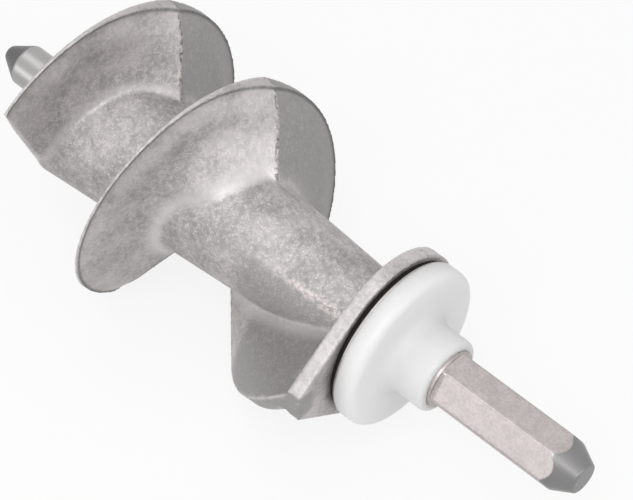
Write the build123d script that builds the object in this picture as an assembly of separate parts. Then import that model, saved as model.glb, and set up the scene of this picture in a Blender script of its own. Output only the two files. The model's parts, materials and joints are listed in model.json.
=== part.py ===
from build123d import *
from math import atan, cos, degrees, radians, sin, sqrt
import os

# Auger of a household meat grinder: a die-cast screw on a steel drive shaft and a steel knife spindle.
# It is built along +Z, from the bearing seat at z = 0 towards the knife end, and laid down at the end.
# The angle "turn" follows the left-hand flight forwards from the die's parting plane, which is the XZ plane.

# Taper of the screw, as radii at the seat and their growth towards the knife end
FLIGHT_SEAT_R = 23.65
FLIGHT_GROWTH = 0.056
CORE_SEAT_R = 8.45
CORE_GROWTH = 0.0705
BODY_LENGTH = 76.5

# Flight: height of its middle line at the parting plane, its rise over each half turn, and angles in degrees
FEED_PARTING_Z = 23.3
FEED_RISE = 20.1
HALF_PITCH = 12.6
FIN_RISE = 65.0
FIN_SPAN = 108
FIN_STEP = 12
FLIGHT_END_TURN = 626.0

# Flight section: half widths of its land and root, thin in mid-die and stout at the parting plane
LAND_HALF_THIN = 0.5
LAND_HALF_STOUT = 1.9
ROOT_HALF_THIN = 6.9
ROOT_SLIMMING = 0.0048
ROOT_HALF_STOUT = 10.0
DRAFT_SHARE_THIN = 0.3
FLANK_FOOT = 1.12
FAST_BLEND = 40.0
SLOW_BLEND = 90.0

# Gusset behind the flight where the long feed pitch ends: the root keeps a share of its stoutness and then fades
GUSSET_TURN = 180
GUSSET_SHARE = 0.74
GUSSET_HOLD = 50.0
GUSSET_FADE = 92.0
SECTION_STEPS = (0.0, 7.0, 15.0, 25.0, 40.0, 65.0, 90.0, 115.0, 140.0, 155.0, 165.0, 173.0)

# Rear flange: a disc drawn out to the flight's full radius where the flight begins
FLANGE_R = 16.8
FLANGE_T = 2.8
EAR_TURNS = (-64.0, -49.5)

# The turn that faces down as the auger lies
LYING_TURN = 33.0

# Drive shaft: a round bar cast into the screw, with a hexagon milled behind the bush
SHAFT_D = 11.6
SHAFT_EMBED = 24.0
SHOULDER_PROUD = 0.6
HEX_AF = 10.0
HEX_ROLL = -3.0
HEX_LENGTH = 30.4
HEX_TIP_D = 6.0
HEX_TIP_ANGLE = 27.0

# Knife spindle: a square for the knife and a pin for the hole plate
SPINDLE_ROOT_D = 11.0
SPINDLE_EMBED = 16.0
SQUARE_AF = 10.0
SQUARE_CORNER = 0.8
SQUARE_LENGTH = 9.5
PIN_D = 8.4
PIN_LENGTH = 7.1
PIN_CONE_LENGTH = 4.9
PIN_NOSE_D = 2.6
PIN_NOSE_ROUND = 0.8

# Seal ring, thrust washer and bearing bush on the round of the shaft
SEAL_T = 1.1
SEAL_D = 31.4
WASHER_T = 0.4
WASHER_D = 32.3
BUSH_FIT = 0.03
BUSH_D = 32.8
BUSH_T = 4.1
BUSH_RIM_ROUND = 1.8
HUB_D = 14.8
HUB_LENGTH = 8.4
HUB_ROUND = 1.2
HUB_FILLET = 3.0


def flight_radius(z):
    return FLIGHT_SEAT_R + FLIGHT_GROWTH * z


def core_radius(z):
    return CORE_SEAT_R + CORE_GROWTH * z


def on_screw(radius, turn, z):
    """The point at a radius, a left-hand turn from the parting plane and a height."""
    return Vector(radius * cos(radians(turn)), -radius * sin(radians(turn)), z)


def middle_line(turn):
    """Height of the flight's middle: a steep fin, a long-pitched feed half turn, then an even pitch."""
    if turn < 0:
        return FEED_PARTING_Z + FIN_RISE * turn / 180
    if turn < 180:
        return FEED_PARTING_Z + FEED_RISE * turn / 180
    return FEED_PARTING_Z + FEED_RISE + HALF_PITCH * (turn - 180) / 180


def fast_fall(after):
    """Stoutness past a parting plane on the flank that the die can follow: it falls off at once."""
    return max(0.0, 1 - after / FAST_BLEND) ** 2


def slow_rise(after):
    """Stoutness before the next parting plane on the flank that the die would catch: it grows over a quarter turn."""
    return max(0.0, (after - 180 + SLOW_BLEND) / SLOW_BLEND) ** 2


def gusset_fall(after):
    """Stoutness of the gusset's root past its parting plane: it holds, then eases off."""
    share = min(1.0, max(0.0, (after - GUSSET_HOLD) / (GUSSET_FADE - GUSSET_HOLD)))
    return max(fast_fall(after), GUSSET_SHARE * (1 - share**2 * (3 - 2 * share)))


def flank(turn, side, land_weight, root_weight):
    """Poles of one flank of the section, from the land into the core; side is -1 rear, 1 front.

    The flank leaves the land at a steady draft and sweeps out to its root with the fourth power of the depth.
    """
    half_land = LAND_HALF_THIN + (LAND_HALF_STOUT - LAND_HALF_THIN) * land_weight
    root_thin = ROOT_HALF_THIN - ROOT_SLIMMING * (turn - GUSSET_TURN)
    half_root = root_thin + (ROOT_HALF_STOUT - root_thin) * root_weight
    straight = DRAFT_SHARE_THIN + (1 - DRAFT_SHARE_THIN) * land_weight
    land_z = middle_line(turn) + side * half_land
    outer = flight_radius(land_z)
    depth = outer - core_radius(middle_line(turn) + side * half_root)
    shares = [FLANK_FOOT * pole / 4 for pole in range(5)]
    spreads = [straight * share for share in shares]
    spreads[-1] += (1 - straight) * FLANK_FOOT**4
    return [
        on_screw(outer - depth * share, turn, land_z + side * (half_root - half_land) * spread)
        for share, spread in zip(shares, spreads)
    ]


def section(turn, rear, front):
    """One radial section of the flight, from the weights of land and root on its two flanks."""
    rear_points = flank(turn, -1, *rear)
    front_points = flank(turn, 1, *front)
    land = Edge.make_line(front_points[0], rear_points[0])
    rear_edge = Edge.make_bezier(*rear_points)
    foot = Edge.make_line(rear_points[-1], front_points[-1])
    front_edge = Edge.make_bezier(*front_points[::-1])
    return Face(Wire([land, rear_edge, foot, front_edge]))


def half_turn(start, last=180.0):
    """The flight from a parting plane to the next one, or to the last angle after it."""
    rear_fall = gusset_fall if start == GUSSET_TURN else fast_fall
    angles = [after for after in SECTION_STEPS if after < last - SECTION_STEPS[1]] + [last]
    sections = []
    for after in angles:
        rear = (fast_fall(after) + slow_rise(after), rear_fall(after) + slow_rise(after))
        front = fast_fall(180 - after) + slow_rise(180 - after)
        sections.append(section(start + after, rear, (front, front)))
    return loft(sections)


def tangent_swing(outer, inner):
    """Angle from a point on the outer circle to where its tangent touches the inner circle."""
    return degrees(atan(sqrt(outer**2 - inner**2) / inner))


def flange_outline():
    """The teardrop of the flange: a circle with two tangents to the ear's ends on the flight's radius."""
    ear_r = flight_radius(FLANGE_T)
    swing = tangent_swing(ear_r, FLANGE_R)
    first, last = EAR_TURNS
    ear_start = on_screw(ear_r, first, 0)
    ear_mid = on_screw(ear_r, (first + last) / 2, 0)
    ear_end = on_screw(ear_r, last, 0)
    leave = on_screw(FLANGE_R, last + swing, 0)
    opposite = on_screw(FLANGE_R, (first + last) / 2 + 180, 0)
    arrive = on_screw(FLANGE_R, first - swing, 0)
    edges = [
        Edge.make_three_point_arc(ear_start, ear_mid, ear_end),
        Edge.make_line(ear_end, leave),
        Edge.make_three_point_arc(leave, opposite, arrive),
        Edge.make_line(arrive, ear_start),
    ]
    return Face(Wire(edges))


def turned(*points):
    """A solid of revolution about Z from (radius, height) points."""
    outline = Polyline(*[(radius, 0, height) for radius, height in points], close=True)
    return revolve(Face(Wire(outline.edges())), axis=Axis.Z)


def drive_shaft():
    """Round bar with a hexagon and a coned tip."""
    bush_end = -SEAL_T - WASHER_T - BUSH_T - HUB_LENGTH
    hex_start = bush_end - SHOULDER_PROUD
    hex_end = hex_start - HEX_LENGTH
    bar = Pos(0, 0, hex_start) * extrude(Circle(SHAFT_D / 2), SHAFT_EMBED - hex_start)
    hexagon = RegularPolygon(HEX_AF / 2, 6, major_radius=False, rotation=HEX_ROLL)
    prism = Pos(0, 0, hex_end) * extrude(hexagon, HEX_LENGTH)
    tip_r = HEX_TIP_D / 2
    cone_r = tip_r + HEX_LENGTH * sin(radians(HEX_TIP_ANGLE)) / cos(radians(HEX_TIP_ANGLE))
    cone = turned((0, hex_end), (tip_r, hex_end), (cone_r, hex_start), (0, hex_start))
    return bar + (prism & cone)


def knife_spindle():
    """Round root in the screw, square for the knife, pin with a coned nose."""
    square_end = BODY_LENGTH + SQUARE_LENGTH
    pin_end = square_end + PIN_LENGTH
    nose_end = pin_end + PIN_CONE_LENGTH
    root = Pos(0, 0, BODY_LENGTH - SPINDLE_EMBED) * extrude(Circle(SPINDLE_ROOT_D / 2), SPINDLE_EMBED)
    square = Pos(0, 0, BODY_LENGTH) * extrude(RectangleRounded(SQUARE_AF, SQUARE_AF, SQUARE_CORNER), SQUARE_LENGTH)
    pin_r = PIN_D / 2
    pin = turned((0, square_end), (pin_r, square_end), (pin_r, pin_end), (PIN_NOSE_D / 2, nose_end), (0, nose_end))
    pin = fillet(pin.edges().sort_by(Axis.Z)[-1], PIN_NOSE_ROUND)
    return root + square + pin


def soft_corner(corner, before, after):
    """The curve that eases a profile round a corner, from a point before it to a point after it."""
    return Edge.make_bezier(*[Vector(radius, 0, height) for radius, height in (before, corner, after)])


def bush():
    """Flanged bearing bush with a soft rim, a hollow sweep into its hub and a rounded hub end."""
    front = -SEAL_T - WASHER_T
    back = front - BUSH_T
    hub_end = back - HUB_LENGTH
    bore_r = SHAFT_D / 2 + BUSH_FIT
    rim_r = BUSH_D / 2
    hub_r = HUB_D / 2
    rim = soft_corner((rim_r, back), (rim_r, back + BUSH_RIM_ROUND), (rim_r - BUSH_RIM_ROUND, back))
    sweep = soft_corner((hub_r, back), (hub_r + HUB_FILLET, back), (hub_r, back - HUB_FILLET))
    lip = soft_corner((hub_r, hub_end), (hub_r, hub_end + HUB_ROUND), (hub_r - HUB_ROUND, hub_end))
    edges = [
        Edge.make_line((bore_r, 0, front), (rim_r, 0, front)),
        Edge.make_line((rim_r, 0, front), rim @ 0),
        rim,
        Edge.make_line(rim @ 1, sweep @ 0),
        sweep,
        Edge.make_line(sweep @ 1, lip @ 0),
        lip,
        Edge.make_line(lip @ 1, (bore_r, 0, hub_end)),
        Edge.make_line((bore_r, 0, hub_end), (bore_r, 0, front)),
    ]
    return revolve(Face(Wire(edges)), axis=Axis.Z)


def flat_ring(outer_d, thickness, front):
    """A flat ring on the round of the shaft, with its front face at a height."""
    face = Circle(outer_d / 2) - Circle(SHAFT_D / 2 + BUSH_FIT)
    return Pos(0, 0, front - thickness) * extrude(face, thickness)


def last_half_turn(start):
    """The flight at the knife end, cut by a flat that runs from its land down to the core."""
    end_z = middle_line(FLIGHT_END_TURN)
    outer = flight_radius(end_z)
    inner = core_radius(end_z)
    touch_turn = FLIGHT_END_TURN + tangent_swing(outer, inner)
    block = Box(outer, 3 * outer, 2 * BODY_LENGTH, align=(Align.MIN, Align.CENTER, Align.MIN))
    return half_turn(start, touch_turn - start) - Rot(0, 0, -touch_turn) * Pos(inner, 0, 0) * block


def screw_body(shaft, spindle):
    """Core, flange, fin and flight in one casting, with the two steel pieces cast in."""
    full_r = 2 * flight_radius(BODY_LENGTH)
    core = turned((0, 0), (core_radius(0), 0), (core_radius(BODY_LENGTH), BODY_LENGTH), (0, BODY_LENGTH))
    flange = extrude(flange_outline(), FLANGE_T, dir=(0, 0, 1))
    fin = loft([section(-turn, (1, 1), (1, 1)) for turn in range(0, FIN_SPAN + 1, FIN_STEP)])
    above_flange = Pos(0, 0, FLANGE_T) * extrude(Circle(full_r), BODY_LENGTH)
    body = core + flange + (fin & above_flange)
    whole_halves = int(FLIGHT_END_TURN // 180)
    for half in range(whole_halves):
        body += half_turn(180 * half)
    body += last_half_turn(180 * whole_halves)
    body &= extrude(Circle(full_r), BODY_LENGTH)
    return body - shaft - spindle


def laid_down(solids):
    """The place of the axis when the taper lies on a level surface, with the origin under the middle."""
    lying = Rot(0, 90 - degrees(atan(FLIGHT_GROWTH)), 0) * Rot(0, 0, LYING_TURN)
    box = Compound(children=[lying * solid for solid in solids]).bounding_box()
    return Pos(-box.center().X, -box.center().Y, -box.min.Z) * lying


if __name__ == "__main__":
    shaft = drive_shaft()
    spindle = knife_spindle()
    pieces = {
        "auger_body": screw_body(shaft, spindle),
        "drive_shaft": shaft,
        "knife_spindle": spindle,
        "seal_ring": flat_ring(SEAL_D, SEAL_T, 0),
        "thrust_washer": flat_ring(WASHER_D, WASHER_T, -SEAL_T),
        "thrust_bush": bush(),
    }
    place = laid_down(pieces.values())
    os.makedirs("parts", exist_ok=True)
    for name, piece in pieces.items():
        export_step(place * piece, f"parts/{name}.step")
    for label, height in {"seat": 0, "pin end": BODY_LENGTH + SQUARE_LENGTH + PIN_LENGTH}.items():
        print(label, (place * Pos(0, 0, height)).position)
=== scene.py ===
import json
import logging
import math
from dataclasses import dataclass
from enum import Enum
from typing import Any, Sequence

import bmesh
import bpy
import numpy as np
from mathutils import Matrix, Vector


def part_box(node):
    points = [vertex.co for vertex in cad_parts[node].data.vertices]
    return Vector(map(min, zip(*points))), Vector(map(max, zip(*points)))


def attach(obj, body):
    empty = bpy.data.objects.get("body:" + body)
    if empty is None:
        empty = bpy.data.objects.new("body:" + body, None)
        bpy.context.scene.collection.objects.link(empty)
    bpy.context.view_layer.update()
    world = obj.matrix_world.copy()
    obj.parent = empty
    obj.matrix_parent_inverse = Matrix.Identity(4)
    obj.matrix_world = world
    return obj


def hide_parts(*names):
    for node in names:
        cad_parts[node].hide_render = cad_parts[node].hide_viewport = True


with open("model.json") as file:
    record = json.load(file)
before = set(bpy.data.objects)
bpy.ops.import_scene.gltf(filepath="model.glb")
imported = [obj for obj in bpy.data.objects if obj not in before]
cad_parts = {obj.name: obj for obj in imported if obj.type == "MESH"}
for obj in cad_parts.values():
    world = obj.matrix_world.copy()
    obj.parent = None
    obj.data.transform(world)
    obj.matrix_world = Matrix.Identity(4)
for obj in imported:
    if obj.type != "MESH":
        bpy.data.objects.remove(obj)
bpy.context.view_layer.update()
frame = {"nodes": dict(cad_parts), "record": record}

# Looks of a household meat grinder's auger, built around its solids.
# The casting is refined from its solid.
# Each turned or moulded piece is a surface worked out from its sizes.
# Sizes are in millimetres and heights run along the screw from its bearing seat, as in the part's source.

MM = 0.001
BODY = "root"
IMAGE_WIDTH = 633
log = logging.getLogger("auger")


class Slot(Enum):
    """The record's material slots."""

    CAST = "cast_aluminium"
    STEEL = "steel"
    PLASTIC = "white_plastic"
    RUBBER = "black_rubber"


@dataclass(frozen=True)
class ScrewAxis:
    """The screw's axis in the row frame, in millimetres.

    The angle "turn" runs round the axis along the left-hand flight, from the die's parting plane.
    """

    seat: np.ndarray
    ahead: np.ndarray
    lying_turn: float = 33.0
    journal_height: float = -10.7

    @classmethod
    def from_record(cls, record: dict[str, Any]) -> "ScrewAxis":
        """Read the axis from the bush's mount.

        Args:
            record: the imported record.

        Returns:
            The axis, with its seat where the ring meets the flange.
        """
        mount = next(m for m in record["mounts"] if m["name"] == "bush_journal")
        ahead = -np.array(mount["axis"], float)
        ahead /= np.linalg.norm(ahead)
        return cls(np.array(mount["pos_m"], float) / MM - ahead * cls.journal_height, ahead)

    @property
    def down(self) -> np.ndarray:
        """The direction away from the axis that faces the floor."""
        return np.array([self.ahead[2], 0.0, -self.ahead[0]])

    @property
    def aside(self) -> np.ndarray:
        """The direction away from the axis a quarter turn past the one that faces the floor."""
        return np.cross(self.down, self.ahead)

    def radial(self, turn: np.ndarray | float) -> np.ndarray:
        """Directions away from the axis.

        Args:
            turn: angles in degrees.

        Returns:
            Unit vectors: down times the cosine plus aside times the sine of the angle from the lying turn.
        """
        angle = np.radians(np.asarray(turn, float) - self.lying_turn)[..., None]
        return np.cos(angle) * self.down + np.sin(angle) * self.aside

    def points(self, radius: np.ndarray, turn: np.ndarray, height: np.ndarray) -> np.ndarray:
        """Places in the row frame, in metres.

        Args:
            radius: distances from the axis, in millimetres.
            turn: angles in degrees.
            height: places along the axis, in millimetres.

        Returns:
            The seat plus height along the axis plus radius along the radial direction.
        """
        radius, turn, height = np.broadcast_arrays(radius, turn, height)
        return (self.seat + height[..., None] * self.ahead + radius[..., None] * self.radial(turn)) * MM

    def places(self, points: np.ndarray) -> tuple[np.ndarray, np.ndarray, np.ndarray]:
        """Radius, turn and height of places in the row frame: the points method the other way round.

        Args:
            points: places in metres.

        Returns:
            Radii in millimetres, turns in degrees from 0 to 360 and heights in millimetres.
        """
        from_seat = points / MM - self.seat
        toward_floor, sideways = from_seat @ self.down, from_seat @ self.aside
        turn = np.degrees(np.arctan2(sideways, toward_floor)) + self.lying_turn
        return np.hypot(toward_floor, sideways), turn % 360, from_seat @ self.ahead


class Wire:
    """A shader socket that takes part in Python arithmetic: each operator adds a Math node."""

    def __init__(self, graph: "Graph", socket: bpy.types.NodeSocket | None) -> None:
        """Keep the socket and the graph that new nodes go into."""
        self.graph = graph
        self.socket = socket

    def _math(self, operation: str, first: Any, second: Any) -> "Wire":
        """Add one Math node on two values."""
        return self.graph.node("ShaderNodeMath", {"operation": operation}, {0: first, 1: second})

    def __add__(self, other: Any) -> "Wire":
        """Sum."""
        return self._math("ADD", self, other)

    __radd__ = __add__

    def __sub__(self, other: Any) -> "Wire":
        """Difference."""
        return self._math("SUBTRACT", self, other)

    def __rsub__(self, other: Any) -> "Wire":
        """Difference from a number."""
        return self._math("SUBTRACT", other, self)

    def __mul__(self, other: Any) -> "Wire":
        """Product."""
        return self._math("MULTIPLY", self, other)

    __rmul__ = __mul__

    def largest(self, other: Any) -> "Wire":
        """The larger of two values."""
        return self._math("MAXIMUM", self, other)

    def between(self, low: float, high: float) -> "Wire":
        """Ease from 0 at low to 1 at high.

        Args:
            low: the value that becomes 0.
            high: the value that becomes 1.

        Returns:
            The eased value.
        """
        settings = {"interpolation_type": "SMOOTHSTEP"}
        sockets = {"Value": self, "From Min": low, "From Max": high}
        return self.graph.node("ShaderNodeMapRange", settings, sockets)


class Graph:
    """The node tree of a material or a world, with one method that adds every node."""

    def __init__(self, owner: bpy.types.Material | bpy.types.World) -> None:
        """Start with an empty tree.

        Args:
            owner: the new material or world that the tree belongs to.
        """
        self.owner = owner
        self.owner.use_nodes = True
        self.tree = self.owner.node_tree
        self.tree.nodes.clear()

    def node(
        self, kind: str, settings: dict[str, Any], sockets: dict[Any, Any], output: int | str = 0
    ) -> Wire:
        """Add a node.

        Args:
            kind: the node's type.
            settings: its own settings, set first.
            sockets: values or wires for its inputs, by name or number.
            output: the number or name of the output to return.

        Returns:
            That output as a wire.
        """
        made = self.tree.nodes.new(kind)
        for key, value in settings.items():
            setattr(made, key, value)
        for key, value in sockets.items():
            if isinstance(value, Wire):
                self.tree.links.new(value.socket, made.inputs[key])
            else:
                made.inputs[key].default_value = value
        return Wire(self, made.outputs[output] if made.outputs else None)

    def object_place(self) -> Wire:
        """The place on the piece, in metres."""
        return self.node("ShaderNodeTexCoord", {}, {}, 3)

    def attribute(self, name: str) -> Wire:
        """A value that the piece's mesh carries.

        Args:
            name: the attribute's name.

        Returns:
            Its value.
        """
        return self.node("ShaderNodeAttribute", {"attribute_name": name}, {}, 2)

    def noise(
        self, place: Wire, grain_mm: float, detail: float = 3.0, roughness: float = 0.55, twist: float = 0.0
    ) -> Wire:
        """Soft random values from 0 to 1.

        Args:
            place: where to read them.
            grain_mm: the size of one patch, in millimetres.
            detail: how many finer layers are added.
            roughness: how strong those layers are.
            twist: how far the patches are drawn out into crinkles.

        Returns:
            The values.
        """
        sockets = {"Vector": place, "Scale": 1 / (grain_mm * MM), "Detail": detail, "Roughness": roughness}
        return self.node("ShaderNodeTexNoise", {"noise_dimensions": "3D"}, {**sockets, "Distortion": twist})

    def blend(self, share: Wire, first: Any, second: Any) -> Wire:
        """A mix of two colours.

        Args:
            share: 0 for the first, 1 for the second.
            first: a colour or a wire.
            second: a colour or a wire.

        Returns:
            The mixed colour.
        """
        return self.node("ShaderNodeMix", {"data_type": "RGBA"}, {0: share, 6: first, 7: second}, 2)

    def bump(self, height: Wire, depth_mm: float, strength: float) -> Wire:
        """A normal bent by a height field.

        Args:
            height: the field, from 0 to 1.
            depth_mm: what a height of 1 stands for.
            strength: the share that shows.

        Returns:
            The normal.
        """
        sockets = {"Height": height, "Distance": depth_mm * MM, "Strength": strength}
        return self.node("ShaderNodeBump", {}, sockets)

    def surface(self, **inputs: Any) -> bpy.types.Material:
        """Close the material with a Principled shader.

        Args:
            inputs: its sockets, with an underscore for each space.

        Returns:
            The finished material.
        """
        sockets = {key.replace("_", " "): value for key, value in inputs.items()}
        shader = self.node("ShaderNodeBsdfPrincipled", {}, sockets)
        self.node("ShaderNodeOutputMaterial", {}, {"Surface": shader})
        return self.owner


def grey(level: float, warmth: float = 0.0) -> tuple[float, float, float, float]:
    """A neutral colour, a little warmer or cooler.

    Args:
        level: its brightness.
        warmth: the share that red gains, of which blue loses a fifth.

    Returns:
        The colour with full alpha.
    """
    return (level * (1 + warmth), level, level * (1 - warmth / 5), 1.0)


@dataclass(frozen=True)
class CastAluminium:
    """Tumbled die casting: satin grey, mottled, rubbed bright on its edges, smoother in its fillets, where a
    painted highlight lies, and strewn with painted glints.

    The tumbling stones reach the outer edges best.
    The skin of the die stays barer beside the fin and in one half of the die. Painted highlights also lie on
    a patch of the second flight's rear flank and along the feed ridge.
    """

    name: str = "tumbled_casting"
    dull: float = 0.28
    pale: float = 0.52
    rubbed: float = 0.75
    # Level of the painted highlight in the fillets, whose finish is also smoother.
    smooth: float = 0.70
    flash: float = 0.10
    warmth: float = 0.05
    painted_glint_warmth: float = 0.14
    metal: float = 0.6
    cloud_mm: float = 6.0
    mottle_mm: float = 1.0
    speck_mm: float = 0.3
    torn_mm: float = 0.9
    fillet_share: float = 0.85
    skin_glints_lost: float = 0.4
    skin_wear_lost: float = 0.75
    skin_relief_lost: float = 0.35
    rim_line: tuple[float, float] = (0.02, 0.06)
    seam_line_mm: tuple[float, float] = (0.1, 0.6)
    core_depth: tuple[float, float] = (0.94, 1.0)
    relief_mm: float = 0.22

    def make(self) -> bpy.types.Material:
        """Build the finish.

        Returns:
            The material.
        """
        graph = Graph(bpy.data.materials.new(self.name))
        place = graph.object_place()
        cloud = graph.noise(place, self.cloud_mm)
        mottle = graph.noise(place, self.mottle_mm, 6.0, 0.68, 0.5)
        speck = graph.noise(place, self.speck_mm, 3.0, 0.6, 0.4)
        torn = graph.noise(place, self.torn_mm).between(0.44, 0.6)
        edge = graph.attribute("edge_wear_and_sheen")
        rear = graph.attribute("rear_flank")
        fillet = graph.attribute("fillet")
        depth = graph.attribute("depth")
        seam_off = graph.attribute("seam_mm")
        skin = graph.attribute("bare_skin")
        ridge = graph.attribute("feed_ridge")
        # Colour of the painted glints: bright specks and the ridge highlight.
        painted_glint = grey(self.rubbed, self.painted_glint_warmth)
        unfilled = 1 - fillet * self.fillet_share
        patches = mottle.between(0.25, 0.75) * 0.45 + cloud.between(0.3, 0.7) * 0.45
        worn = ((patches + (1 - depth) * 0.35) * (1 - skin * self.skin_wear_lost)).between(0.0, 1.1)
        body = graph.blend(worn, grey(self.dull, self.warmth / 2), grey(self.pale, self.warmth))
        tumbled = unfilled * (1 - skin * self.skin_glints_lost)
        # Painted glints: bright specks strewn over the tumbled faces, more of them towards the core.
        painted_glints = speck.between(0.43, 0.72) * mottle.between(0.4, 0.6) * tumbled
        glinted = graph.blend(painted_glints * (0.35 + depth * 0.25), body, painted_glint)
        # Painted highlight along the root fillets, whose finish is also smoother.
        filled = graph.blend(fillet * self.fillet_share, glinted, grey(self.smooth, self.warmth))
        # A thin dark line on the rear flank just under the land, drawn in the seam's dark colour.
        rim = rear * (1 - depth.between(*self.rim_line)) * mottle.between(0.1, 0.6)
        lined = graph.blend(rim * 0.75, filled, grey(self.flash))
        # Rubbed bright on worn edges and the flange rim, plus a painted highlight on a patch of the second
        # flight's rear flank.
        edged = graph.blend(edge * (0.4 + mottle * 0.8), lined, grey(self.rubbed, self.warmth))
        # A painted highlight along the feed ridge, broken up by the mottle.
        painted_glinting = graph.blend(ridge * mottle.between(0.38, 0.66) * 0.7, edged, painted_glint)
        off_seam = seam_off.largest(0 - seam_off).between(*self.seam_line_mm)
        seam = (1 - off_seam) * (1 - depth.between(*self.core_depth) * 0.55)
        marks = (seam * (torn * (0.4 + speck * 0.8))).between(0.1, 0.9)
        colour = graph.blend(marks * 0.6, painted_glinting, grey(self.flash))
        rough = 0.38 + cloud * 0.1 + mottle * 0.14 - edge * 0.08 - fillet * 0.1 + marks * 0.2
        grain = (mottle * 0.55 + speck * 0.45) * unfilled * (1 - skin * self.skin_relief_lost)
        bumped = graph.bump(grain - marks * 0.8, self.relief_mm, 0.75)
        return graph.surface(Base_Color=colour, Metallic=self.metal, Roughness=rough, Normal=bumped)


@dataclass(frozen=True)
class DrawnSteel:
    """Tumbled bar steel with a warm cast, and lathe-turned ends with fine rings."""

    name: str = "drawn_steel"
    dull: float = 0.37
    bright: float = 0.46
    warmth: float = 0.09
    turned: float = 0.38
    dark: float = 0.07
    cut_warmth: float = 0.02
    ring_mm: float = 0.28
    patch_mm: float = 2.2
    speck_mm: float = 0.5
    relief_mm: float = 0.05

    def make(self) -> bpy.types.Material:
        """Build the finish.

        Returns:
            The material.
        """
        graph = Graph(bpy.data.materials.new(self.name))
        place = graph.object_place()
        patch = graph.noise(place, self.patch_mm, 4.0, 0.6)
        speck = graph.noise(place, self.speck_mm, 3.0, 0.6)
        turned = graph.attribute("turned")
        dulled = graph.attribute("dulled")
        along = graph.attribute("along_mm")
        rings = graph.node("ShaderNodeMath", {"operation": "SINE"}, {0: along * (2 * math.pi / self.ring_mm)})
        tone = (patch.between(0.3, 0.7) * 0.5 + speck.between(0.35, 0.65) * 0.5).between(0.0, 1.0)
        drawn = graph.blend(tone, grey(self.dull, self.warmth), grey(self.bright, self.warmth))
        cut = graph.blend(turned, drawn, grey(self.turned, self.cut_warmth))
        colour = graph.blend(dulled, cut, grey(self.dark, self.cut_warmth))
        rough = (0.36 + patch * 0.1) * (1 - turned) + (0.33 + rings * 0.03) * turned
        relief = (speck * 0.7 + patch * 0.3) * (1 - turned) + (rings * 0.04 + 0.5) * turned
        bumped = graph.bump(relief, self.relief_mm, 0.35)
        return graph.surface(Base_Color=colour, Metallic=1.0, Roughness=rough, Normal=bumped)


@dataclass(frozen=True)
class MouldedPlastic:
    """Smooth white plastic with a faint mould grain, that lets a little light through."""

    name: str = "white_moulding"
    level: float = 0.82
    haze_share: float = 0.985
    tint: float = 0.003
    haze_mm: float = 7.0
    grain_mm: float = 0.35
    relief_mm: float = 0.02
    glow: float = 0.6
    glow_reach: float = 0.006

    def make(self) -> bpy.types.Material:
        """Build the finish.

        Returns:
            The material.
        """
        graph = Graph(bpy.data.materials.new(self.name))
        place = graph.object_place()
        haze = graph.noise(place, self.haze_mm, 2.0)
        grain = graph.noise(place, self.grain_mm, 2.0)
        hazed, clear = grey(self.level * self.haze_share, self.tint), grey(self.level, -self.tint)
        return graph.surface(
            Base_Color=graph.blend(haze, hazed, clear),
            Roughness=0.4 + haze * 0.08,
            Normal=graph.bump(grain, self.relief_mm, 0.15),
            Subsurface_Weight=self.glow,
            Subsurface_Radius=(1.0, 1.0, 1.0),
            Subsurface_Scale=self.glow_reach,
        )


@dataclass(frozen=True)
class BlackRubber:
    """Matt black rubber, a little dusty."""

    name: str = "black_rubber"
    clean: float = 0.006
    dusty: float = 0.02
    dust_warmth: float = 0.1
    dust_mm: float = 0.8
    relief_mm: float = 0.04
    gloss: float = 0.15

    def make(self) -> bpy.types.Material:
        """Build the finish.

        Returns:
            The material.
        """
        graph = Graph(bpy.data.materials.new(self.name))
        dust = graph.noise(graph.object_place(), self.dust_mm)
        return graph.surface(
            Base_Color=graph.blend(dust, grey(self.clean), grey(self.dusty, self.dust_warmth)),
            Roughness=0.7 + dust * 0.2,
            Specular_IOR_Level=self.gloss,
            Normal=graph.bump(dust, self.relief_mm, 0.3),
        )


Finish = CastAluminium | DrawnSteel | MouldedPlastic | BlackRubber


def eased_outline(
    corners: Sequence[tuple[float, float]], cuts: Sequence[float], steps: int = 10
) -> np.ndarray:
    """A closed outline whose corners are eased.

    Each corner is a quadratic curve.
    It runs from the point one cut before the corner, bent towards the corner, to one cut after it.

    Args:
        corners: (radius, height) of each corner, in order.
        cuts: how far each corner is cut back along its two sides.
        steps: points on each eased corner.

    Returns:
        The points, as rows of radius and height.
    """
    spots = np.array(corners, float)
    cut = np.array(cuts, float)[:, None]
    back = np.roll(spots, 1, 0) - spots
    on = np.roll(spots, -1, 0) - spots
    start = spots + back / np.linalg.norm(back, axis=1, keepdims=True) * cut
    stop = spots + on / np.linalg.norm(on, axis=1, keepdims=True) * cut
    t = np.linspace(0, 1, steps)[None, :, None]
    curve = (1 - t) ** 2 * start[:, None] + 2 * t * (1 - t) * spots[:, None] + t**2 * stop[:, None]
    return curve.reshape(-1, 2)


def ease(share: np.ndarray) -> np.ndarray:
    """A soft step from 0 to 1: three squares less two cubes of the share, held within 0 and 1."""
    held = np.clip(share, 0, 1)
    return held**2 * (3 - 2 * held)


def rising(measure: np.ndarray, start: float, over: float) -> np.ndarray:
    """A soft step up that begins at the start and takes the given length."""
    return ease((measure - start) / over)


def falling(measure: np.ndarray, stop: float, over: float) -> np.ndarray:
    """A soft step down that ends at the stop and takes the given length."""
    return ease((stop - measure) / over)


@dataclass(frozen=True)
class Window:
    """A stretch of one measure with soft ends."""

    opens: float
    opening: float
    shuts: float
    shutting: float

    def share(self, measure: np.ndarray) -> np.ndarray:
        """A soft step up where the window opens, times a soft step down where it shuts."""
        return rising(measure, self.opens, self.opening) * falling(measure, self.shuts, self.shutting)


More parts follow.
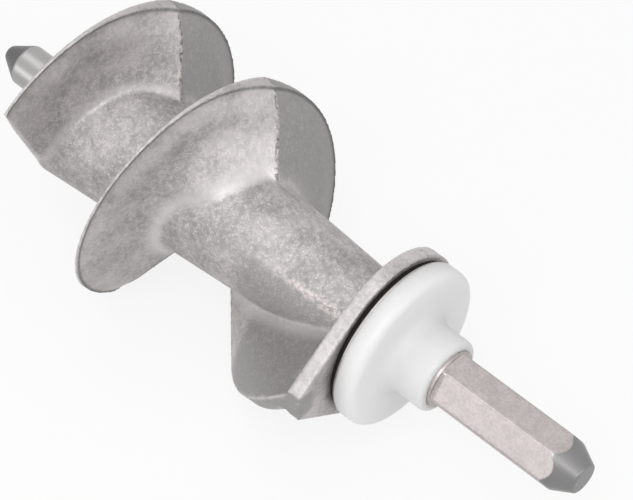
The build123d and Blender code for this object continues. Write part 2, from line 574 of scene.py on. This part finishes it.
def quads(rows: int, columns: int, close_rows: bool) -> np.ndarray:
    """Faces of a grid that closes round its columns.

    Args:
        rows: points down the grid.
        columns: points round the grid.
        close_rows: whether the last row joins the first.

    Returns:
        Four vertex numbers for each face.
    """
    row = np.arange(rows if close_rows else rows - 1)[:, None]
    column = np.arange(columns)[None, :]
    beside = (column + 1) % columns
    below = (row + 1) % rows
    this, that = row * columns, below * columns
    corners = [this + column, this + beside, that + beside, that + column]
    return np.stack(np.broadcast_arrays(*corners), -1).reshape(-1, 4)


def mesh_object(name: str, points: np.ndarray, faces: list[np.ndarray]) -> bpy.types.Object:
    """Make a smooth mesh object at the origin, with its faces turned outwards.

    The volume under the faces is a sixth of the sum of their corner products.
    Where it is negative, the faces are turned round.

    Args:
        name: the piece's name.
        points: vertices in metres.
        faces: arrays of vertex numbers, one for each kind of face.

    Returns:
        The linked object.
    """
    fans = np.concatenate([
        np.stack([f[:, 0], f[:, k], f[:, k + 1]], 1) for f in faces for k in range(1, f.shape[1] - 1)
    ])
    a, b, c = (points[fans[:, k]] for k in range(3))
    if np.einsum("ij,ij->i", a, np.cross(b, c)).sum() < 0:
        faces = [f[:, ::-1] for f in faces]
    sizes = np.concatenate([np.full(len(f), f.shape[1]) for f in faces])
    mesh = bpy.data.meshes.new(name)
    mesh.vertices.add(len(points))
    mesh.vertices.foreach_set("co", points.astype(np.float32).ravel())
    mesh.loops.add(int(sizes.sum()))
    mesh.loops.foreach_set("vertex_index", np.concatenate([f.ravel() for f in faces]).astype(np.int32))
    mesh.polygons.add(len(sizes))
    mesh.polygons.foreach_set("loop_start", (np.cumsum(sizes) - sizes).astype(np.int32))
    mesh.update(calc_edges=True)
    mesh.shade_smooth()
    made = bpy.data.objects.new(name, mesh)
    bpy.context.scene.collection.objects.link(made)
    return made


def carry(mesh: bpy.types.Mesh, name: str, values: np.ndarray) -> None:
    """Give a mesh one value for each vertex.

    Args:
        mesh: the mesh.
        name: the attribute's name.
        values: one number for each vertex.
    """
    kept = mesh.attributes.new(name, "FLOAT", "POINT")
    kept.data.foreach_set("value", np.ascontiguousarray(values, np.float32))


@dataclass
class Piece:
    """A piece of the auger that stands for one solid."""

    axis: ScrewAxis

    def dress(self, made: bpy.types.Object, node: str, slot: Slot, finish: Finish) -> bpy.types.Object:
        """Give a piece its finish and its body, and hide the solid that it stands for.

        Args:
            made: the piece.
            node: the solid's node.
            slot: the record's slot that the finish belongs to; not used.
            finish: what makes the material.

        Returns:
            The piece.
        """
        made.data.materials.clear()
        made.data.materials.append(finish.make())
        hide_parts(node)
        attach(made, BODY)
        log.info("%s: %d faces", made.name, len(made.data.polygons))
        return made


@dataclass
class TurnedRing(Piece):
    """A ring on the shaft: an eased outline carried once round the axis."""

    columns: int = 192

    def turn(self, name: str, outline: np.ndarray) -> bpy.types.Object:
        """Carry an outline round the axis.

        Args:
            name: the piece's name.
            outline: rows of radius and height.

        Returns:
            The ring.
        """
        turns = np.arange(self.columns) * 360 / self.columns
        points = self.axis.points(outline[:, :1], turns[None, :], outline[:, 1:])
        return mesh_object(name, points.reshape(-1, 3), [quads(len(outline), self.columns, True)])


def flat_ring(bore_r: float, outer_r: float, high: float, low: float) -> list[tuple[float, float]]:
    """Corners of a flat ring's section, in order."""
    return [(bore_r, high), (outer_r, high), (outer_r, low), (bore_r, low)]


@dataclass
class SealRing(TurnedRing):
    """The rubber ring on the flange."""

    bore_r: float = 5.83
    outer_r: float = 15.7
    thickness: float = 1.1
    bore_ease: float = 0.1
    rim_ease: float = 0.3

    def build(self) -> bpy.types.Object:
        """Make and dress the ring.

        Returns:
            The ring.
        """
        corners = flat_ring(self.bore_r, self.outer_r, 0.0, -self.thickness)
        cuts = [self.bore_ease, self.rim_ease, self.rim_ease, self.bore_ease]
        made = self.turn("sealing_ring", eased_outline(corners, cuts))
        return self.dress(made, "seal_ring", Slot.RUBBER, BlackRubber())


@dataclass
class ThrustWasher(TurnedRing):
    """The thin steel washer between the ring and the bush."""

    bore_r: float = 5.83
    outer_r: float = 16.15
    front: float = -1.1
    thickness: float = 0.4
    edge_ease: float = 0.08
    corner_steps: int = 6

    def build(self) -> bpy.types.Object:
        """Make and dress the washer.

        Returns:
            The washer.
        """
        corners = flat_ring(self.bore_r, self.outer_r, self.front, self.front - self.thickness)
        outline = eased_outline(corners, [self.edge_ease] * len(corners), self.corner_steps)
        made = self.turn("steel_washer", outline)
        return self.dress(made, "thrust_washer", Slot.STEEL, DrawnSteel("washer_steel"))


@dataclass
class BearingBush(TurnedRing):
    """The moulded bush: a disc with a soft rim that sweeps into its hub."""

    bore_r: float = 5.83
    rim_r: float = 16.4
    hub_r: float = 7.4
    front: float = -1.5
    disc: float = 4.1
    hub: float = 8.4
    bore_ease: float = 0.1
    front_ease: float = 0.3
    rim_ease: float = 1.8
    sweep: float = 3.0
    lip_ease: float = 1.2
    end_ease: float = 0.15
    corner_steps: int = 24

    def build(self) -> bpy.types.Object:
        """Make and dress the bush.

        Returns:
            The bush.
        """
        back = self.front - self.disc
        end = back - self.hub
        corners = [
            (self.bore_r, self.front), (self.rim_r, self.front), (self.rim_r, back),
            (self.hub_r, back), (self.hub_r, end), (self.bore_r, end),
        ]
        cuts = [self.bore_ease, self.front_ease, self.rim_ease, self.sweep, self.lip_ease, self.end_ease]
        made = self.turn("bearing_bush", eased_outline(corners, cuts, self.corner_steps))
        return self.dress(made, "thrust_bush", Slot.PLASTIC, MouldedPlastic())


def polygon_radius(turn: np.ndarray, sides: int, flat_r: float, roll: float, crisp: float) -> np.ndarray:
    """Radius of a bar with flat sides and slightly rounded corners.

    It is the flats' distance over the power mean of the cosines to each flat.
    A high power gives crisp corners.

    Args:
        turn: angles in degrees.
        sides: how many flats.
        flat_r: distance from the axis to each flat.
        roll: the turn that the first flat faces.
        crisp: the power.

    Returns:
        The radius at each angle.
    """
    faces = roll + np.arange(sides) * 360 / sides
    cosines = np.maximum(np.cos(np.radians(turn[..., None] - faces)), 0)
    return flat_r / np.sum(cosines**crisp, -1) ** (1 / crisp)


def soft_least(first: np.ndarray, second: np.ndarray, crisp: float) -> np.ndarray:
    """The smaller of two radii with an eased change-over: the negative power mean of both."""
    return (first**-crisp + second**-crisp) ** (-1 / crisp)


@dataclass
class SteelBar(Piece):
    """A bar along the axis: rings of points from one end's centre to the other's."""

    columns: int = 360

    def bar(
        self, name: str, heights: np.ndarray, radii: np.ndarray, turned: np.ndarray, dulled: np.ndarray
    ) -> bpy.types.Object:
        """Join rings of points into a closed bar.

        Args:
            name: the piece's name.
            heights: one height for each ring.
            radii: a radius for each ring and column.
            turned: how lathe-turned each ring or point looks, from 0 to 1.
            dulled: how dark each ring or point has gone, from 0 to 1.

        Returns:
            The bar.
        """
        turns = np.arange(self.columns) * 360 / self.columns
        rings = self.axis.points(radii, turns[None, :], heights[:, None]).reshape(-1, 3)
        poles = self.axis.points(np.zeros(2), np.zeros(2), heights[[0, -1]])
        count = len(rings)
        column = np.arange(self.columns)
        beside = (column + 1) % self.columns
        last = count - self.columns
        first_fan = np.stack([np.full(self.columns, count), beside, column], 1)
        last_fan = np.stack([np.full(self.columns, count + 1), last + column, last + beside], 1)
        faces = [quads(len(heights), self.columns, False), first_fan, last_fan]
        made = mesh_object(name, np.concatenate([rings, poles]), faces)
        for mark, values in {"turned": turned, "dulled": dulled, "along_mm": heights}.items():
            every = np.broadcast_to(values.reshape(len(heights), -1), radii.shape)
            carry(made.data, mark, np.append(every.ravel(), every[[0, -1], 0]))
        return made


@dataclass
class DriveShaft(SteelBar):
    """The shaft: a coned hexagon and the round that carries the bush."""

    flat_r: float = 5.0
    roll: float = 33.0
    tip_r: float = 3.0
    tip_slope: float = math.tan(math.radians(27.0))
    hex_start: float = -14.6
    hex_length: float = 30.4
    round_r: float = 5.8
    inner_end: float = 24.0
    cone_length: float = 6.5
    face_rings: tuple[float, ...] = (0.5, 1.5, 2.4, 2.9)
    first_rise: float = 0.08
    shoulder_ease: tuple[float, float] = (0.12, 0.03)
    corner_power: int = 40
    cone_power: int = 140
    cone_dulled: float = 0.45

    def build(self) -> bpy.types.Object:
        """Make and dress the shaft.

        A ring's radius is the hexagon's or the cone's, whichever is less.

        Returns:
            The shaft.
        """
        end = self.hex_start - self.hex_length
        turns = np.arange(self.columns) * 360 / self.columns
        flats = polygon_radius(turns, 6, self.flat_r, self.roll, self.corner_power)
        cone_rise = np.linspace(self.first_rise, self.cone_length, 64)
        rise = np.concatenate([cone_rise, np.linspace(self.cone_length + 1, self.hex_length, 24)])
        limit = np.concatenate([self.face_rings, self.tip_r + self.tip_slope * rise])
        heights = np.concatenate([np.full(len(self.face_rings), end), end + rise])
        every = np.broadcast_to(flats, (len(limit), self.columns))
        radii = soft_least(every, limit[:, None], self.cone_power)
        large, small = self.shoulder_ease
        shoulder = self.round_r - np.array([large, small, 0.0, 0.0])
        shoulder_at = self.hex_start + np.array([0.0, small, large, self.inner_end - self.hex_start])
        heights = np.concatenate([heights, shoulder_at])
        radii = np.concatenate([radii, np.repeat(shoulder[:, None], self.columns, 1)])
        coned = (limit[:, None] < flats).astype(float)
        turned = np.concatenate([coned, np.zeros((len(shoulder), self.columns))])
        made = self.bar("hex_shaft", heights, radii, turned, turned * self.cone_dulled)
        return self.dress(made, "drive_shaft", Slot.STEEL, DrawnSteel())


@dataclass
class KnifeSpindle(SteelBar):
    """The insert at the far end: square for the knife, pin with a coned nose for the hole plate."""

    columns: int = 240
    root_r: float = 5.5
    root_start: float = 60.5
    square_start: float = 76.5
    square_end: float = 86.0
    square_r: float = 5.0
    pin_r: float = 4.2
    pin_end: float = 93.1
    nose_r: float = 1.3
    nose_end: float = 98.0
    edge_ease: tuple[float, float] = (0.1, 0.03)
    corner_power: int = 34
    nose_lead: float = 0.2
    nose_round: float = 0.9
    nose_dulled: float = 0.8

    def build(self) -> bpy.types.Object:
        """Make and dress the spindle.

        The nose's radius is the pin's, the cone's or the rounded tip's, whichever is less.

        Returns:
            The spindle.
        """
        turns = np.arange(self.columns) * 360 / self.columns
        square = polygon_radius(turns, 4, self.square_r, 0.0, self.corner_power)
        level = np.ones((1, self.columns))
        large, small = self.edge_ease
        root_at = np.array([self.root_start, self.square_start])
        before_end = np.array([large, small, 0.0])
        square_at = np.append(self.square_start, self.square_end - before_end)
        square_rows = square[None, :] - np.array([0.0, 0.0, small, large])[:, None]
        pin_rise = np.linspace(self.square_end + 0.05, self.pin_end - 0.25, 24)
        pin_at = np.append(self.square_end, pin_rise)
        bow = np.sin(np.linspace(0, 1, 40) * math.pi / 2)
        nose_at = self.pin_end - self.nose_lead + (self.nose_end - self.pin_end + self.nose_lead) * bow
        slope = (self.nose_r - self.pin_r) / (self.nose_end - self.pin_end)
        cone = self.pin_r + slope * (nose_at - self.pin_end)
        into_tip = np.clip((nose_at - self.nose_end + self.nose_round) / self.nose_round, 0, 1)
        tip = np.sqrt(np.maximum(1 - into_tip**2, 1e-4)) * (self.nose_r + 0.5)
        far_out = 9.0
        rounded = np.where(nose_at > self.nose_end - self.nose_round, tip, far_out)
        nose = soft_least(soft_least(cone, np.full(len(cone), self.pin_r), 60), rounded, 20)
        heights = np.concatenate([root_at, square_at, pin_at, nose_at])
        root_rows = np.full((len(root_at), 1), self.root_r) * level
        pin_rows = np.full((len(pin_at), 1), self.pin_r) * level
        radii = np.concatenate([root_rows, square_rows, pin_rows, nose[:, None] * level])
        drawn = len(root_at) + len(square_at)
        turned = np.concatenate([np.zeros(drawn), np.ones(len(heights) - drawn)])
        dulled = np.clip((heights - self.pin_end + 0.1) / 0.2, 0, 1) * self.nose_dulled
        made = self.bar("knife_pin", heights, radii, turned, dulled)
        return self.dress(made, "knife_spindle", Slot.STEEL, DrawnSteel("spindle_steel"))


@dataclass
class CastScrew(Piece):
    """The casting: its solid, evened into small faces, with eased edges, fillets and the seam of the die."""

    octree_depth: int = 8
    grid_share: float = 0.5589
    edge_rounds: int = 2
    fillet_rounds: int = 2
    fillet_reach: float = 3.0
    fillet_spread: int = 4
    seam_height: float = 0.05
    seam_width: float = 0.5
    flight_r: tuple[float, float] = (23.65, 0.056)
    core_r: tuple[float, float] = (8.45, 0.0705)
    feed_ridge: float = 262.0
    ridge_width: float = 1.0
    web_reach: float = 1.5
    web_root: tuple[float, float] = (18.8, 0.085)
    web_top_r: float = 20.0
    rim_thinner: float = 0.8
    rim_reach: float = 5.0
    rim_rounds: int = 5
    web_turns: Window = Window(176.0, 44.0, 268.0, 26.0)
    web_along: Window = Window(-5.0, 5.0, 11.0, 3.0)
    # Where a painted highlight lies on the second flight's rear flank beside the parting crease.
    painted_sheen_turns: Window = Window(179.5, 1.0, 226.0, 34.0)
    painted_sheen_above: Window = Window(0.0, 1.0, 12.0, 9.0)
    painted_sheen_heights: Window = Window(28.0, 3.0, 52.0, 4.0)
    feed_heights: Window = Window(3.5, 2.0, 31.0, 6.0)
    ear_turns: Window = Window(295.0, 2.0, 311.5, 2.0)
    parting_turn: float = 180.0
    narrow_fillet: float = 0.4
    far_fillet_lost: float = 0.8
    rim_rub: float = 0.24
    painted_sheen_rub: float = 0.45
    wander_waves: tuple[tuple[float, ...], ...] = ((2100.0, 1700.0, 2600.0), (-900.0, 3100.0, 700.0))

    def even_mesh(self, node: str) -> tuple[np.ndarray, np.ndarray]:
        """Copy the solid's mesh, merge its corners and cut it into even faces.

        Args:
            node: the solid's node.

        Returns:
            Vertices in metres and quads.
        """
        copy = frame["nodes"][node].data.copy()
        work = bmesh.new()
        work.from_mesh(copy)
        bmesh.ops.remove_doubles(work, verts=work.verts, dist=1e-6)
        work.to_mesh(copy)
        work.free()
        holder = bpy.data.objects.new("casting_copy", copy)
        bpy.context.scene.collection.objects.link(holder)
        cells = holder.modifiers.new("cells", "REMESH")
        cells.mode = "SHARP"
        cells.octree_depth = self.octree_depth
        cells.scale = self.grid_share
        cells.sharpness = 1.0
        cells.use_remove_disconnected = False
        even = bpy.data.meshes.new_from_object(holder.evaluated_get(bpy.context.evaluated_depsgraph_get()))
        points = np.empty(len(even.vertices) * 3, np.float32)
        even.vertices.foreach_get("co", points)
        corners = np.empty(len(even.loops), np.int32)
        even.loops.foreach_get("vertex_index", corners)
        bpy.data.objects.remove(holder)
        bpy.data.meshes.remove(copy)
        bpy.data.meshes.remove(even)
        return points.reshape(-1, 3).astype(float), corners.reshape(-1, 4)

    @staticmethod
    def offset_to_neighbours(points: np.ndarray, edges: np.ndarray) -> np.ndarray:
        """How far each vertex is from the middle of its neighbours.

        Args:
            points: vertices or values, one row each.
            edges: pairs of vertex numbers, both ways.

        Returns:
            The mean of the neighbours less the vertex.
        """
        start, end = edges.T
        count = np.bincount(start, minlength=len(points))[:, None]
        total = [np.bincount(start, column[end], len(points)) for column in points.T]
        return np.stack(total, 1) / np.maximum(count, 1) - points

    def normals(self, points: np.ndarray, faces: np.ndarray) -> np.ndarray:
        """Outward direction at each vertex: the sum of its faces' diagonal products, made one long.

        Args:
            points: vertices in metres.
            faces: quads.

        Returns:
            One unit vector for each vertex.
        """
        a, b, c, d = (points[faces[:, k]] for k in range(4))
        face = np.cross(c - a, d - b)
        total = [np.bincount(faces.ravel(), np.repeat(face[:, k], 4), len(points)) for k in range(3)]
        out = np.stack(total, 1)
        return out / np.maximum(np.linalg.norm(out, axis=1, keepdims=True), 1e-12)

    def spread(self, values: np.ndarray, edges: np.ndarray, rounds: int) -> np.ndarray:
        """Spread values over the mesh by steps towards the neighbours' mean.

        Args:
            values: one value for each vertex.
            edges: pairs of vertex numbers, both ways.
            rounds: how many steps.

        Returns:
            The spread values.
        """
        column = values[:, None]
        for _ in range(rounds):
            column = column + 0.6 * self.offset_to_neighbours(column, edges)
        return column[:, 0]

    def bent(self, points: np.ndarray, faces: np.ndarray, edges: np.ndarray, rounds: int) -> np.ndarray:
        """How much the surface bends: the neighbours' middle along the normal, in edge lengths.

        Args:
            points: vertices in metres.
            faces: quads.
            edges: pairs of vertex numbers, both ways.
            rounds: how often the value is spread to the neighbours.

        Returns:
            One value for each vertex, over 0 in a hollow and under 0 on an edge.
        """
        out = self.normals(points, faces)
        span = np.linalg.norm(points[edges[:, 0]] - points[edges[:, 1]], axis=1).mean()
        bend = np.einsum("ij,ij->i", self.offset_to_neighbours(points, edges), out) / span
        return self.spread(bend, edges, rounds)

    def draw_web(self, points: np.ndarray) -> np.ndarray:
        """Draw the web behind the second flight a little further along the core.

        Points slide back along the axis by the web's reach.
        The slide fades up the flight, along the core and to both sides, so the surface never folds.

        Args:
            points: vertices in metres.

        Returns:
            The moved vertices.
        """
        radius, turn, height = self.axis.places(points)
        root = self.web_root[0] + self.web_root[1] * turn
        near_web = self.web_along.share(height - root) * self.web_turns.share(turn)
        slide = self.web_reach * near_web * falling(radius, self.web_top_r, 8)
        return points - slide[:, None] * self.axis.ahead * MM

    def thin_rim(self, points: np.ndarray, faces: np.ndarray, edges: np.ndarray) -> np.ndarray:
        """Thin the flight towards its land: points of the rear flank slide ahead by a soft step near the rim.

        Args:
            points: vertices in metres.
            faces: quads.
            edges: pairs of vertex numbers, both ways.

        Returns:
            The moved vertices.
        """
        radius, _, height = self.axis.places(points)
        rear = np.clip(-(self.normals(points, faces) @ self.axis.ahead) * 2, 0, 1)
        rear = self.spread(rear, edges, self.rim_rounds)
        outer = self.flight_r[0] + self.flight_r[1] * height
        near_rim = rising(radius - outer, -self.rim_reach, self.rim_reach) * rising(height, 24, 4)
        return points + self.rim_thinner * (near_rim * rear)[:, None] * self.axis.ahead * MM

    def soften(self, points: np.ndarray, faces: np.ndarray, edges: np.ndarray) -> np.ndarray:
        """Ease the edges and fill the roots.

        Steps towards the neighbours' middle and back again ease the edges and keep the volume.
        Steps without the way back, only where the surface bends inwards, fill the roots with fillets.

        Args:
            points: vertices in metres.
            faces: quads.
            edges: pairs of vertex numbers, both ways.

        Returns:
            The moved vertices.
        """
        for _ in range(self.edge_rounds):
            points = points + 0.5 * self.offset_to_neighbours(points, edges)
            points = points - 0.52 * self.offset_to_neighbours(points, edges)
        hollow = np.clip(self.bent(points, faces, edges, 2) * 20, 0, 1)
        for _ in range(self.fillet_rounds):
            points = points + 0.5 * hollow[:, None] * self.offset_to_neighbours(points, edges)
        return points

    def marks(self, points: np.ndarray, faces: np.ndarray, edges: np.ndarray) -> dict[str, np.ndarray]:
        """Find where the finish changes: products of soft steps along, from and round the axis.

        Args:
            points: vertices in metres.
            faces: quads.
            edges: pairs of vertex numbers, both ways.

        Returns:
            One value for each vertex under each attribute's name.
        """
        sharp = np.clip(-self.bent(points, faces, edges, 1) * 6 - 0.35, 0, 1)
        facing = self.normals(points, faces) @ self.axis.ahead
        radius, turn, height = self.axis.places(points)
        rear = np.clip(-facing * 2, 0, 1)
        outer, inner = (first + growth * height for first, growth in (self.flight_r, self.core_r))
        above = radius - inner
        reach = self.fillet_reach * (1 - self.narrow_fillet * rising(height, 46, 6))
        fillet = np.clip(1 - above / reach, 0, 1) * np.clip(above / 0.3 - 0.5, 0, 1)
        # The fillet mask also sets the painted highlight along the roots; the far half of the die gets less
        # of it.
        far_half = falling(turn, self.parting_turn, 2) * rising(height, 20, 3)
        fillet = self.spread(fillet * (1 - self.far_fillet_lost * far_half), edges, self.fillet_spread)
        # A painted highlight on a patch of the second flight's rear flank beside the parting crease.
        painted_sheen = self.painted_sheen_turns.share(turn) * self.painted_sheen_above.share(above)
        painted_sheen = painted_sheen * self.painted_sheen_heights.share(height)
        along_feed = self.feed_heights.share(height)
        # The feed ridge mask places a painted highlight along the ridge.
        ridge_off = np.radians(turn - self.feed_ridge) * radius
        on_ridge = np.exp(-((ridge_off / self.ridge_width) ** 2)) * (above < 1)
        beside_fin = rising(ridge_off, 0, 1.5) * falling(turn, 335, 10)
        ear_end = self.ear_turns.share(turn) * rising(radius, 19, 2) * falling(height, 7, 2)
        on_rim = rising(radius, 14, 1) * falling(height, 4.8, 0.4) * falling(np.abs(facing), 0.4, 0.2)
        fin = rising(above, 0, 2.5) * falling(height, 26, 4)
        far_skin = falling(turn, self.parting_turn, 0.6) * rising(above, 0, 1.5) * rising(height, 6, 2)
        feed_skin = np.maximum(beside_fin, fin) * along_feed
        # Edge wear and flange rim wear, with that painted highlight added in.
        rubs = [sharp * (1 - rear), self.rim_rub * (1 - ear_end) * on_rim, self.painted_sheen_rub * painted_sheen]
        return {
            "edge_wear_and_sheen": np.max(rubs, axis=0),
            "rear_flank": rear * rising(height, 20, 4),
            "bare_skin": np.max([feed_skin, far_skin, ear_end], axis=0),
            "feed_ridge": on_ridge * falling(height, 26, 16) * along_feed,
            "fillet": fillet,
            "seam_mm": radius * np.sin(np.radians(turn)),
            "depth": np.clip((outer - radius) / (outer - inner), 0, 1),
        }

    def raise_seam(self, points: np.ndarray, faces: np.ndarray, seam_off: np.ndarray) -> np.ndarray:
        """Raise a low flash on the parting plane: a bell curve across it, with waves along it.

        Args:
            points: vertices in metres.
            faces: quads.
            seam_off: distance of each vertex from the plane, in millimetres.

        Returns:
            The moved vertices.
        """
        seam = np.exp(-((seam_off / self.seam_width) ** 2))
        wander = np.prod([np.sin(points @ np.array(wave)) for wave in self.wander_waves], axis=0)
        lift = seam * (0.5 + 0.5 * wander) * self.seam_height * MM
        return points + self.normals(points, faces) * lift[:, None]

    def build(self) -> bpy.types.Object:
        """Make and dress the casting.

        Returns:
            The casting.
        """
        points, faces = self.even_mesh("auger_body")
        edges = np.stack([faces.ravel(), np.roll(faces, -1, 1).ravel()], 1)
        edges = np.unique(np.concatenate([edges, edges[:, ::-1]]), axis=0)
        low, high = (np.array(corner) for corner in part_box("auger_body"))
        points = self.soften(points, faces, edges)
        points = self.thin_rim(self.draw_web(points), faces, edges)
        marks = self.marks(points, faces, edges)
        points = self.raise_seam(points, faces, marks["seam_mm"])
        made = mesh_object("cast_screw", np.clip(points, low, high), [faces])
        for mark, values in marks.items():
            carry(made.data, mark, values)
        return self.dress(made, "auger_body", Slot.CAST, CastAluminium())


@dataclass(frozen=True)
class Studio:
    """The floor, the light and the camera at the photograph's angle."""

    floor_half: float = 3.0
    azimuth: float = 222.47
    elevation: float = 47.722
    roll: float = 0.403
    target_mm: tuple[float, float, float] = (-3.344, -5.458, 24.0)
    distance_mm: float = 547.509
    focal_px: float = 3000.0
    sensor_mm: float = 36.0
    front_watts: float = 4.0
    top_watts: float = 1.0
    side_watts: float = 1.1
    right_watts: float = 1.2
    lamp_far: float = 0.95
    fill: float = 0.49
    floor_white: float = 0.85
    floor_grey: float = 0.86

    def toward_camera(self) -> Vector:
        """Unit vector from the target to the camera."""
        a, e = math.radians(self.azimuth), math.radians(self.elevation)
        return Vector((math.sin(a) * math.cos(e), -math.cos(a) * math.cos(e), math.sin(e)))

    def camera(self) -> Matrix:
        """Place the camera.

        Returns:
            Its turn, whose columns point right, up and back.
        """
        back = self.toward_camera()
        data = bpy.data.cameras.new("photo_camera")
        data.sensor_fit = "HORIZONTAL"
        data.sensor_width = self.sensor_mm
        data.lens = self.focal_px / IMAGE_WIDTH * self.sensor_mm
        data.clip_start, data.clip_end = 0.01, 20.0
        made = bpy.data.objects.new("photo_camera", data)
        bpy.context.scene.collection.objects.link(made)
        level = (-back).to_track_quat("-Z", "Y").to_matrix()
        turn = level @ Matrix.Rotation(math.radians(self.roll), 3, "Z")
        place = (Vector(self.target_mm) + back * self.distance_mm) * MM
        made.matrix_world = Matrix.Translation(place) @ turn.to_4x4()
        bpy.context.scene.camera = made
        return turn

    def seen_white(self, graph: Graph) -> Wire:
        """Find the rays that show the background: from the camera, off gloss or through glass.

        Args:
            graph: the tree to add to.

        Returns:
            1 for those rays and 0 for others.
        """
        kinds = ("Is Camera Ray", "Is Glossy Ray", "Is Transmission Ray")
        camera, glossy, through = (graph.node("ShaderNodeLightPath", {}, {}, kind) for kind in kinds)
        return camera.largest(glossy).largest(through)

    def floor(self) -> None:
        """Lay a pale floor that shows white and keeps a faint shadow."""
        h = self.floor_half
        points = np.array([[-h, -h, 0.0], [h, -h, 0.0], [h, h, 0.0], [-h, h, 0.0]])
        made = mesh_object("floor", points, [np.array([[0, 1, 2, 3]])])
        graph = Graph(bpy.data.materials.new("pale_floor"))
        matt = graph.node("ShaderNodeBsdfDiffuse", {}, {"Color": grey(self.floor_grey)})
        white = graph.node("ShaderNodeEmission", {}, {"Color": grey(1.0), "Strength": 1.0})
        share = self.seen_white(graph) * self.floor_white
        mixed = graph.node("ShaderNodeMixShader", {}, {0: share, 1: matt, 2: white})
        graph.node("ShaderNodeOutputMaterial", {}, {"Surface": mixed})
        made.data.materials.append(graph.owner)

    def lamp(self, name: str, toward: Vector, size: float, watts: float) -> None:
        """Hang a soft square lamp that faces the part.

        Args:
            name: the lamp's name.
            toward: the direction from the part to the lamp.
            size: its side, in metres.
            watts: its power.
        """
        data = bpy.data.lights.new(name, "AREA")
        data.shape = "SQUARE"
        data.size = size
        data.energy = watts
        made = bpy.data.objects.new(name, data)
        bpy.context.scene.collection.objects.link(made)
        aim = toward.normalized()
        made.location = Vector(self.target_mm) * MM + aim * self.lamp_far
        made.rotation_mode = "QUATERNION"
        made.rotation_quaternion = (-aim).to_track_quat("-Z", "Y")

    def world(self) -> None:
        """Light the part evenly from a pale room that shows white."""
        graph = Graph(bpy.data.worlds.new("studio"))
        bpy.context.scene.world = graph.owner
        strength = self.seen_white(graph) * (1.0 - self.fill) + self.fill
        sky = graph.node("ShaderNodeBackground", {}, {"Color": grey(1.0), "Strength": strength})
        graph.node("ShaderNodeOutputWorld", {}, {"Surface": sky})

    def build(self) -> None:
        """Set up the floor, the light and the camera."""
        turn = self.camera()
        right, up, back = (turn.col[k] for k in range(3))
        self.floor()
        self.lamp("front_lamp", back * 0.98 - right * 0.12 + up * 0.12, 0.6, self.front_watts)
        self.lamp("top_lamp", up * 0.8 - right * 0.2 + back * 0.55, 0.5, self.top_watts)
        self.lamp("side_lamp", back * 0.38 - right * 0.9 - up * 0.18, 0.45, self.side_watts)
        self.lamp("right_lamp", back * 0.68 + right * 0.72 - up * 0.12, 0.4, self.right_watts)
        self.world()
        bpy.context.scene.view_settings.view_transform = "Standard"


def main() -> None:
    """Build the pieces in order, then the studio."""
    logging.basicConfig(level=logging.INFO, format="%(name)s %(message)s")
    axis = ScrewAxis.from_record(frame["record"])
    for kind in (CastScrew, DriveShaft, KnifeSpindle, SealRing, ThrustWasher, BearingBush):
        kind(axis).build()
    Studio().build()


if __name__ == "__main__":
    main()
